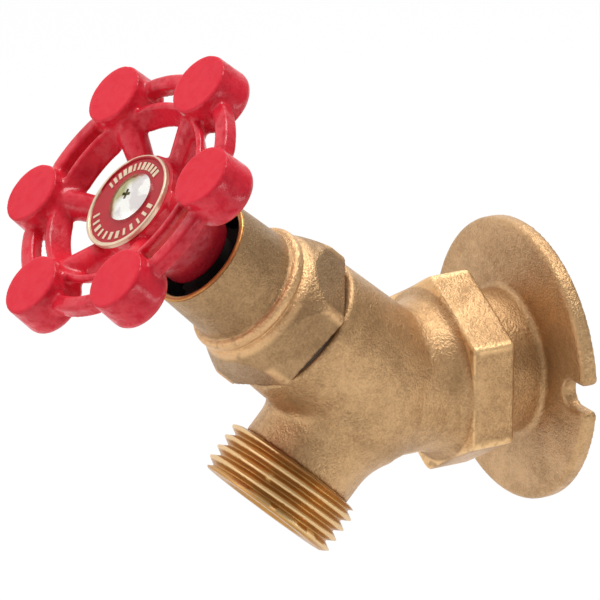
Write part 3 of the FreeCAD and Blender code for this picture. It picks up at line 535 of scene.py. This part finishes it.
def wheel_paint(colours):
    """Glossy red paint over a lumpy casting, flatter on the knobs' faces and darker at the foot of the hub
    as painted shade.
    """
    look = new_look("wheel_paint")
    height = look.reach(STEM_START, STEM_AXIS)
    face = height.ramp(KNOB_TOP - 0.3, KNOB_TOP - 0.1)
    lumps = look.noise(1.5, detail=3, roughness=0.6)
    peel = look.noise(0.5, detail=2)
    swell = look.noise(5, detail=2)
    cloud = look.noise(7, detail=3)
    patches = (cloud * 0.6 + lumps * 0.4).ramp(0.3, 0.6)
    colour = look.mix(patches, darker(colours.wheel_red, 0.74), colours.wheel_red)
    colour = look.mix(face * 0.8, colour, colours.wheel_red)
    # Painted shade: the red darkens towards the foot of the hub
    hub_shade = 1 - height.ramp(HUB_FOOT, HUB_FOOT + HUB_SHADE_HEIGHT)
    colour = look.mix(hub_shade * 0.8, colour, darker(colours.wheel_red, 0.2))
    rise = lumps * (1 - face * 0.8) + peel * 0.12 + swell * 0.6
    roughness = 0.34 + face * 0.14 + lumps * 0.1
    gloss = (1 - face * 0.7) * lumps.ramp(0.3, 0.6) * 0.55
    return look.finish(colour, roughness, 0.0, rise, depth_mm=0.2, specular_IOR_level=0.14,
                       coat_weight=gloss, coat_roughness=0.13)


def plate_up():
    """Return the upward direction in the plane of the index plate."""
    return ACROSS.cross(-STEM_AXIS)


def plate_centre():
    """Return the middle of the index plate, brought along the stem's axis to where the heights start."""
    return STEM_START - plate_up() * PLATE_DROP * MM - ACROSS * PLATE_SHIFT * MM


def plate_enamel(colours):
    """Red enamel inside a bare gold-coloured rim with uneven wear."""
    look = new_look("plate_enamel")
    wear = look.noise(2.2, detail=3)
    far = look.radius(plate_centre(), STEM_AXIS)
    low = look.reach(plate_centre(), -plate_up())
    rim = (far + low * 0.03 + wear * 0.4).ramp(PLATE_RIM - 0.12, PLATE_RIM)
    cloud = look.noise(3, detail=3)
    enamel = look.mix(cloud, colours.enamel_red, darker(colours.enamel_red, 0.7))
    bare = look.mix(wear, colours.gold, darker(colours.gold, 0.72))
    colour = look.mix(rim, enamel, bare)
    roughness = 0.34 + cloud * 0.08
    rise = cloud + wear * 0.4
    return look.finish(colour, roughness, rim * 0.5, rise, depth_mm=0.05, specular_IOR_level=0.3)


def mark_gold(colours):
    """Bare gold-coloured metal of the plate's raised marks."""
    look = new_look("mark_gold")
    wear = look.noise(0.8, detail=3)
    colour = look.mix(wear, colours.gold, darker(colours.gold, 0.7))
    return look.finish(colour, 0.3 + wear * 0.15, 0.6, wear, depth_mm=0.03)


def screw_zinc(colours):
    """Bright zinc with a painted yellow-green reflection on one side, and a dark recess."""
    look = new_look("screw_zinc")
    height = look.reach(STEM_START, STEM_AXIS)
    cloud = look.noise(2.6, detail=2)
    streak = look.noise(1.1, detail=3)
    # Painted reflection: yellow-green towards one side, broken up by noise
    side = look.reach(STEM_START, -ACROSS) + cloud * 3 - 1.5
    green = look.mix(streak, REFLECTED_GREEN, REFLECTED_DARK_GREEN)
    colour = look.mix(cloud.ramp(0.45, 0.6) * 0.5, colours.zinc, ZINC_GREY)
    colour = look.mix(side.ramp(-0.4, 2.0) * 0.9, colour, green)
    middle = 1 - look.radius(STEM_START, STEM_AXIS).ramp(RECESS_RADIUS - 0.2, RECESS_RADIUS)
    recess = (1 - height.ramp(SCREW_TOP - 0.55, SCREW_TOP - 0.2)) * middle
    colour = look.mix(recess * 0.8, colour, RECESS_BROWN)
    return look.finish(colour, 0.2 + streak * 0.1, 0.95 - recess * 0.95, streak, depth_mm=0.03)


def turned_metal(name, colour, hood_shaded=False):
    """Turned metal, painted black as shade where it stands inside the hood."""
    look = new_look(name)
    stain = look.noise(2.5, detail=3)
    shade = look.mix(stain, colour, darker(colour, 0.7))
    roughness = 0.3 + stain * 0.15
    metallic = 1.0
    if hood_shaded:
        # Painted shade: black inside the hood, from just below its floor upwards
        shade_in_hood = look.reach(STEM_START, STEM_AXIS).ramp(HOOD_FLOOR - 2, HOOD_FLOOR - 1)
        shade = look.mix(shade_in_hood, shade, PAINTED_SHADE_BLACK)
        metallic = 1 - shade_in_hood
        roughness = roughness + shade_in_hood * 0.5
    return look.finish(shade, roughness, metallic, stain, depth_mm=0.04)


def dull_matter(name, colour, grain_mm):
    """Rubber, fibre or graphite: a dull surface with a fine grain."""
    look = new_look(name)
    grain = look.noise(grain_mm, detail=3)
    shade = look.mix(grain, colour, darker(colour, 0.6))
    return look.finish(shade, 0.6 + grain * 0.25, 0.0, grain, depth_mm=0.05)


def trim(mesh, point, normal):
    """Cut away what lies past a plane and close the cut."""
    found = mesh.verts[:] + mesh.edges[:] + mesh.faces[:]
    cut = bmesh.ops.bisect_plane(mesh, geom=found, dist=1e-7, plane_co=point, plane_no=normal,
                                 clear_outer=True)
    rim = [item for item in cut["geom_cut"] if isinstance(item, bmesh.types.BMEdge)]
    bmesh.ops.triangle_fill(mesh, edges=rim, use_beauty=True, normal=normal)
    bmesh.ops.recalc_face_normals(mesh, faces=mesh.faces)


def add_mesh(piece, mesh):
    """Add a copy of a mesh to a piece's own."""
    spare = bpy.data.meshes.new("spare")
    mesh.to_mesh(spare)
    whole = bmesh.new()
    whole.from_mesh(piece.data)
    whole.from_mesh(spare)
    whole.to_mesh(piece.data)
    whole.free()
    bpy.data.meshes.remove(spare)


class SILLCOCK_OT_body(Operator):
    """Make the cast body with blended forms and a machined hose end"""

    bl_idname = "sillcock.body"
    bl_label = "Cast body"

    def execute(self, context):
        sizes = context.scene.sillcock_sizes
        material = cast_brass("body_brass", context.scene.sillcock_colours, spout_cut, inlet_highlight)
        casting = merged_copy("valve_body")
        thread = casting.copy()
        cut_at = SPOUT_END - SPOUT_AXIS * (THREAD_LENGTH + THREAD_MARGIN) * MM
        trim(casting, cut_at + SPOUT_AXIS * THREAD_OVERLAP * MM, SPOUT_AXIS)
        trim(thread, cut_at, -SPOUT_AXIS)
        piece = cast_skin(casting, "cast_body", sizes.body_voxel, sizes.body_crease, crease_rounds=34,
                          edge_pull=0.4 * MM, edge_reach=0.75 * MM, edge_rounds=4)
        add_mesh(piece, thread)
        piece.data.shade_smooth()
        piece.data.set_sharp_from_angle(angle=SHARP_TURN)
        casting.free()
        thread.free()
        stand_in(piece, "valve_body", "valve", material)
        return {"FINISHED"}


class SILLCOCK_OT_bonnet(Operator):
    """Make the bonnet with its hexagon, bead and hood"""

    bl_idname = "sillcock.bonnet"
    bl_label = "Bonnet"

    def execute(self, context):
        sizes = context.scene.sillcock_sizes
        # The bonnet's brass is the body's brass darkened as painted shade
        material = cast_brass("bonnet_brass", context.scene.sillcock_colours, hood_cut, bonnet_highlight,
                              dark=hood_shade, painted_shade_tone=0.74)
        source = merged_copy("bonnet")
        piece = cast_skin(source, "cast_bonnet", sizes.bonnet_voxel, sizes.bonnet_crease, crease_rounds=8,
                          edge_pull=0.28 * MM, edge_reach=0.5 * MM, edge_rounds=3)
        source.free()
        stand_in(piece, "bonnet", "valve", material)
        return {"FINISHED"}


class SILLCOCK_OT_handwheel(Operator):
    """Make the painted handwheel with filleted spokes, knobs and rails"""

    bl_idname = "sillcock.handwheel"
    bl_label = "Handwheel"

    def execute(self, context):
        sizes = context.scene.sillcock_sizes
        source = merged_copy("handwheel")
        piece = cast_skin(source, "painted_wheel", sizes.wheel_voxel, sizes.wheel_crease, crease_rounds=16,
                          edge_pull=0.32 * MM, edge_reach=0.6 * MM, edge_rounds=4)
        source.free()
        stand_in(piece, "handwheel", "spindle", wheel_paint(context.scene.sillcock_colours))
        return {"FINISHED"}


def mark_tree(material):
    """Return a tree that sets raised bars of slightly different widths along an arc, and its inputs."""
    tree = bpy.data.node_groups.new("arc_of_marks", "GeometryNodeTree")
    sockets = {}
    for name in ("Count", "Radius", "Start", "Sweep", "Length", "Width", "Height", "Seed"):
        kind = "NodeSocketInt" if name in ("Count", "Seed") else "NodeSocketFloat"
        sockets[name] = tree.interface.new_socket(name, in_out="INPUT", socket_type=kind).identifier
    tree.interface.new_socket("Geometry", in_out="OUTPUT", socket_type="NodeSocketGeometry")

    def add(kind, settings=None, links=None):
        node = tree.nodes.new(kind)
        for name, setting in (settings or {}).items():
            setattr(node, name, setting)
        for name, given in (links or {}).items():
            if isinstance(given, bpy.types.NodeSocket):
                tree.links.new(given, node.inputs[name])
            else:
                node.inputs[name].default_value = given
        return node

    sizes = add("NodeGroupInput").outputs
    arc = add("GeometryNodeCurveArc", {"mode": "RADIUS"}, {
        "Resolution": sizes["Count"], "Radius": sizes["Radius"],
        "Start Angle": sizes["Start"], "Sweep Angle": sizes["Sweep"]})
    extent = add("ShaderNodeCombineXYZ", None, {0: sizes["Length"], 1: sizes["Width"], 2: sizes["Height"]})
    bar = add("GeometryNodeMeshCube", None, {"Size": extent.outputs[0]})
    spots = add("GeometryNodeCurveToPoints", {"mode": "EVALUATED"}, {"Curve": arc.outputs[0]})
    wide = add("FunctionNodeRandomValue", {"data_type": "FLOAT"}, {
        2: MARK_NARROWEST, 3: MARK_WIDEST, "Seed": sizes["Seed"]})
    scale = add("ShaderNodeCombineXYZ", None, {0: 1.0, 1: wide.outputs[1], 2: 1.0})
    turn = add("FunctionNodeAlignRotationToVector", {"axis": "Y"}, {"Vector": spots.outputs["Tangent"]})
    placed = add("GeometryNodeInstanceOnPoints", None, {
        "Points": spots.outputs["Points"], "Instance": bar.outputs[0],
        "Rotation": turn.outputs[0], "Scale": scale.outputs[0]})
    solid = add("GeometryNodeRealizeInstances", None, {"Geometry": placed.outputs[0]})
    coat = add("GeometryNodeSetMaterial", None, {"Geometry": solid.outputs[0], "Material": material})
    add("NodeGroupOutput", None, {"Geometry": coat.outputs[0]})
    return tree, sockets


class SILLCOCK_OT_plate(Operator):
    """Finish the index plate and set two arcs of plain raised marks on it"""

    bl_idname = "sillcock.plate"
    bl_label = "Index plate"

    def execute(self, context):
        sizes = context.scene.sillcock_sizes
        colours = context.scene.sillcock_colours
        dress("index_plate", plate_enamel(colours))
        tree, sockets = mark_tree(mark_gold(colours))
        place = Matrix((ACROSS, plate_up(), STEM_AXIS)).transposed().to_4x4()
        place.translation = plate_centre() + STEM_AXIS * (PLATE_TOP * MM + sizes.mark_height / 2)
        for name, start, sweep, seed in MARK_ARCS:
            piece = bpy.data.objects.new(name, bpy.data.meshes.new(name))
            context.scene.collection.objects.link(piece)
            arc = piece.modifiers.new("marks", "NODES")
            arc.node_group = tree
            arc[sockets["Count"]] = sizes.mark_count
            arc[sockets["Radius"]] = sizes.mark_radius
            arc[sockets["Start"]] = math.radians(start)
            arc[sockets["Sweep"]] = math.radians(sweep)
            arc[sockets["Length"]] = sizes.mark_length
            arc[sockets["Width"]] = sizes.mark_width
            arc[sockets["Height"]] = sizes.mark_height
            arc[sockets["Seed"]] = seed
            context.view_layer.update()
            made = bpy.data.meshes.new_from_object(piece.evaluated_get(context.evaluated_depsgraph_get()))
            piece.modifiers.clear()
            made.transform(place)
            piece.data = made
            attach(piece, "spindle")
        return {"FINISHED"}


class SILLCOCK_OT_fittings(Operator):
    """Finish the screw, the stem, the packing and the washer"""

    bl_idname = "sillcock.fittings"
    bl_label = "Fittings"

    def execute(self, context):
        dress("wheel_screw", screw_zinc(context.scene.sillcock_colours))
        brass = tuple(context.scene.sillcock_colours.brass_cut)
        for node in ("stem", "disc_holder", "bib_screw", "packing_washer", "packing_gland", "packing_nut"):
            dress(node, turned_metal(f"{node}_brass", brass, hood_shaded=node in ("stem", "packing_nut")))
        dress("holder_clip", turned_metal("clip_steel", STEEL))
        dress("bonnet_gasket", dull_matter("gasket_fibre", FIBRE, grain_mm=0.5))
        dress("seat_washer", dull_matter("washer_rubber", RUBBER, grain_mm=0.6))
        dress("packing_ring_lower", dull_matter("graphite_lower", GRAPHITE, grain_mm=0.4))
        dress("packing_ring_upper", dull_matter("graphite_upper", GRAPHITE, grain_mm=0.4))
        return {"FINISHED"}


# The photograph's view: bearing and height of the camera in degrees, its distance in metres, its focal
# length in millimetres and the point that it looks at
VIEW_BEARING = 60.65
VIEW_HEIGHT = 19.22
VIEW_DISTANCE = 0.8425
VIEW_LENS = 281.13
VIEW_TARGET = Vector((-15.9, -36.91, 12.19)) * MM

# The floor: its height, half its width, its grey and the share of plain white in what is seen of it
FLOOR_LEVEL = -75 * MM
FLOOR_HALF = 3.0
FLOOR_GREY = 0.93
FLOOR_GLOW = 0.85

# The strength of the white room on its bright side, at the upper left, and on its other side, and
# what reflections in the part add to it
ROOM_LIGHT = 1.0
ROOM_SHADE = 0.3
ROOM_GLOSS = 0.1

# The part of the way from its dark to its bright side over which the room grows brighter, as cosines
ROOM_TURN = (-0.1, 0.65)


def view_axes():
    """Return the camera's right, up and backward directions."""
    bearing = math.radians(VIEW_BEARING)
    height = math.radians(VIEW_HEIGHT)
    level = math.cos(height)
    back = Vector((math.sin(bearing) * level, -math.cos(bearing) * level, math.sin(height)))
    right = Vector((math.cos(bearing), math.sin(bearing), 0))
    return right, back.cross(right), back


def add_lamp(name, offset, size, power):
    """Add a square soft lamp at an offset from the view's target, facing it."""
    light = bpy.data.lights.new(name, "AREA")
    light.size = size
    light.energy = power
    lamp = bpy.data.objects.new(name, light)
    lamp.location = VIEW_TARGET + offset
    lamp.rotation_euler = (-offset).to_track_quat("-Z", "Y").to_euler()
    bpy.context.scene.collection.objects.link(lamp)


def seen_directly(look):
    """Return two masks: rays from the camera or through glass, and rays that a glossy surface sends on."""
    kinds = ("Camera", "Transmission", "Glossy")
    camera, through, glossy = (look.add("ShaderNodeLightPath", out=f"Is {kind} Ray") for kind in kinds)
    return look.maths("MINIMUM", camera + through, 1.0), glossy


class SILLCOCK_OT_stage(Operator):
    """Set up the floor, the lamps, the world and the photograph's camera"""

    bl_idname = "sillcock.stage"
    bl_label = "Stage"

    def execute(self, context):
        scene = context.scene
        right, up, back = view_axes()
        lens = bpy.data.cameras.new("view")
        lens.lens = VIEW_LENS
        lens.sensor_width = 36
        lens.clip_end = 20
        camera = bpy.data.objects.new("view", lens)
        place = Matrix((right, up, back)).transposed().to_4x4()
        place.translation = VIEW_TARGET + back * VIEW_DISTANCE
        camera.matrix_world = place
        scene.collection.objects.link(camera)
        scene.camera = camera
        scene.view_settings.view_transform = "Standard"
        self.make_floor(scene)
        self.make_world(scene)
        add_lamp("key", up * 0.7 + right * 0.14 + back * 0.1, size=0.35, power=3.0)
        add_lamp("left", back * 0.25 - right * 0.6 - up * 0.1, size=0.4, power=0.8)
        add_lamp("low", right * 0.5 - up * 0.3 + back * 0.22, size=0.45, power=1.8)
        return {"FINISHED"}

    def make_floor(self, scene):
        """Lay a floor that is seen as white and still takes the part's shadow."""
        signs = ((-1, -1), (1, -1), (1, 1), (-1, 1))
        corners = [(FLOOR_HALF * x, FLOOR_HALF * y, FLOOR_LEVEL) for x, y in signs]
        sheet = bpy.data.meshes.new("floor")
        sheet.from_pydata(corners, [], [(0, 1, 2, 3)])
        floor = bpy.data.objects.new("floor", sheet)
        scene.collection.objects.link(floor)
        look = new_look("floor_white")
        base = look.add("ShaderNodeBsdfDiffuse", None, {"Color": (FLOOR_GREY, FLOOR_GREY, FLOOR_GREY, 1)})
        glow = look.add("ShaderNodeEmission", None, {"Color": (1, 1, 1, 1), "Strength": 1.0})
        direct, mirrored = seen_directly(look)
        share = look.maths("MINIMUM", direct + mirrored, 1.0) * FLOOR_GLOW
        both = look.add("ShaderNodeMixShader", None, {0: share, 1: base, 2: glow})
        look.add("ShaderNodeOutputMaterial", None, {"Surface": both})
        sheet.materials.append(look.owner)

    def make_world(self, scene):
        """Light the part from a white room, brighter at the upper left, that is seen as white."""
        scene.world = bpy.data.worlds.new("studio")
        look = Look(scene.world)
        direct, mirrored = seen_directly(look)
        way = look.add("ShaderNodeTexCoord", out="Generated")
        right, up, back = view_axes()
        bright_side = (up * 0.75 - right * 0.6 - back * 0.3).normalized()
        facing = look.add("ShaderNodeVectorMath", {"operation": "DOT_PRODUCT"},
                          {0: way, 1: bright_side}, out="Value")
        room = facing.ramp(*ROOM_TURN) * (ROOM_LIGHT - ROOM_SHADE) + ROOM_SHADE
        strength = direct + (1 - direct) * room * (1 + mirrored * ROOM_GLOSS)
        sky = look.add("ShaderNodeBackground", None, {"Color": (1, 1, 1, 1), "Strength": strength})
        look.add("ShaderNodeOutputWorld", None, {"Surface": sky})


OPERATORS = (
    SILLCOCK_OT_stage,
    SILLCOCK_OT_body,
    SILLCOCK_OT_bonnet,
    SILLCOCK_OT_handwheel,
    SILLCOCK_OT_plate,
    SILLCOCK_OT_fittings,
)


class SILLCOCK_PT_panel(Panel):
    """Lists the pieces of the tap and their sizes and colours"""

    bl_idname = "SILLCOCK_PT_panel"
    bl_label = "Sillcock"
    bl_space_type = "VIEW_3D"
    bl_region_type = "UI"
    bl_category = "Sillcock"

    def draw(self, context):
        for group in (context.scene.sillcock_sizes, context.scene.sillcock_colours):
            for name in group.__annotations__:
                self.layout.prop(group, name)
        for operator in OPERATORS:
            self.layout.operator(operator.bl_idname)


CLASSES = (SillcockSizes, SillcockColours, *OPERATORS, SILLCOCK_PT_panel)


def register():
    for kind in CLASSES:
        bpy.utils.register_class(kind)
    bpy.types.Scene.sillcock_sizes = PointerProperty(type=SillcockSizes)
    bpy.types.Scene.sillcock_colours = PointerProperty(type=SillcockColours)


def unregister():
    del bpy.types.Scene.sillcock_colours
    del bpy.types.Scene.sillcock_sizes
    for kind in reversed(CLASSES):
        bpy.utils.unregister_class(kind)


def main():
    register()
    for operator in OPERATORS:
        group, name = operator.bl_idname.split(".")
        getattr(getattr(bpy.ops, group), name)()


if __name__ == "__main__":
    main()
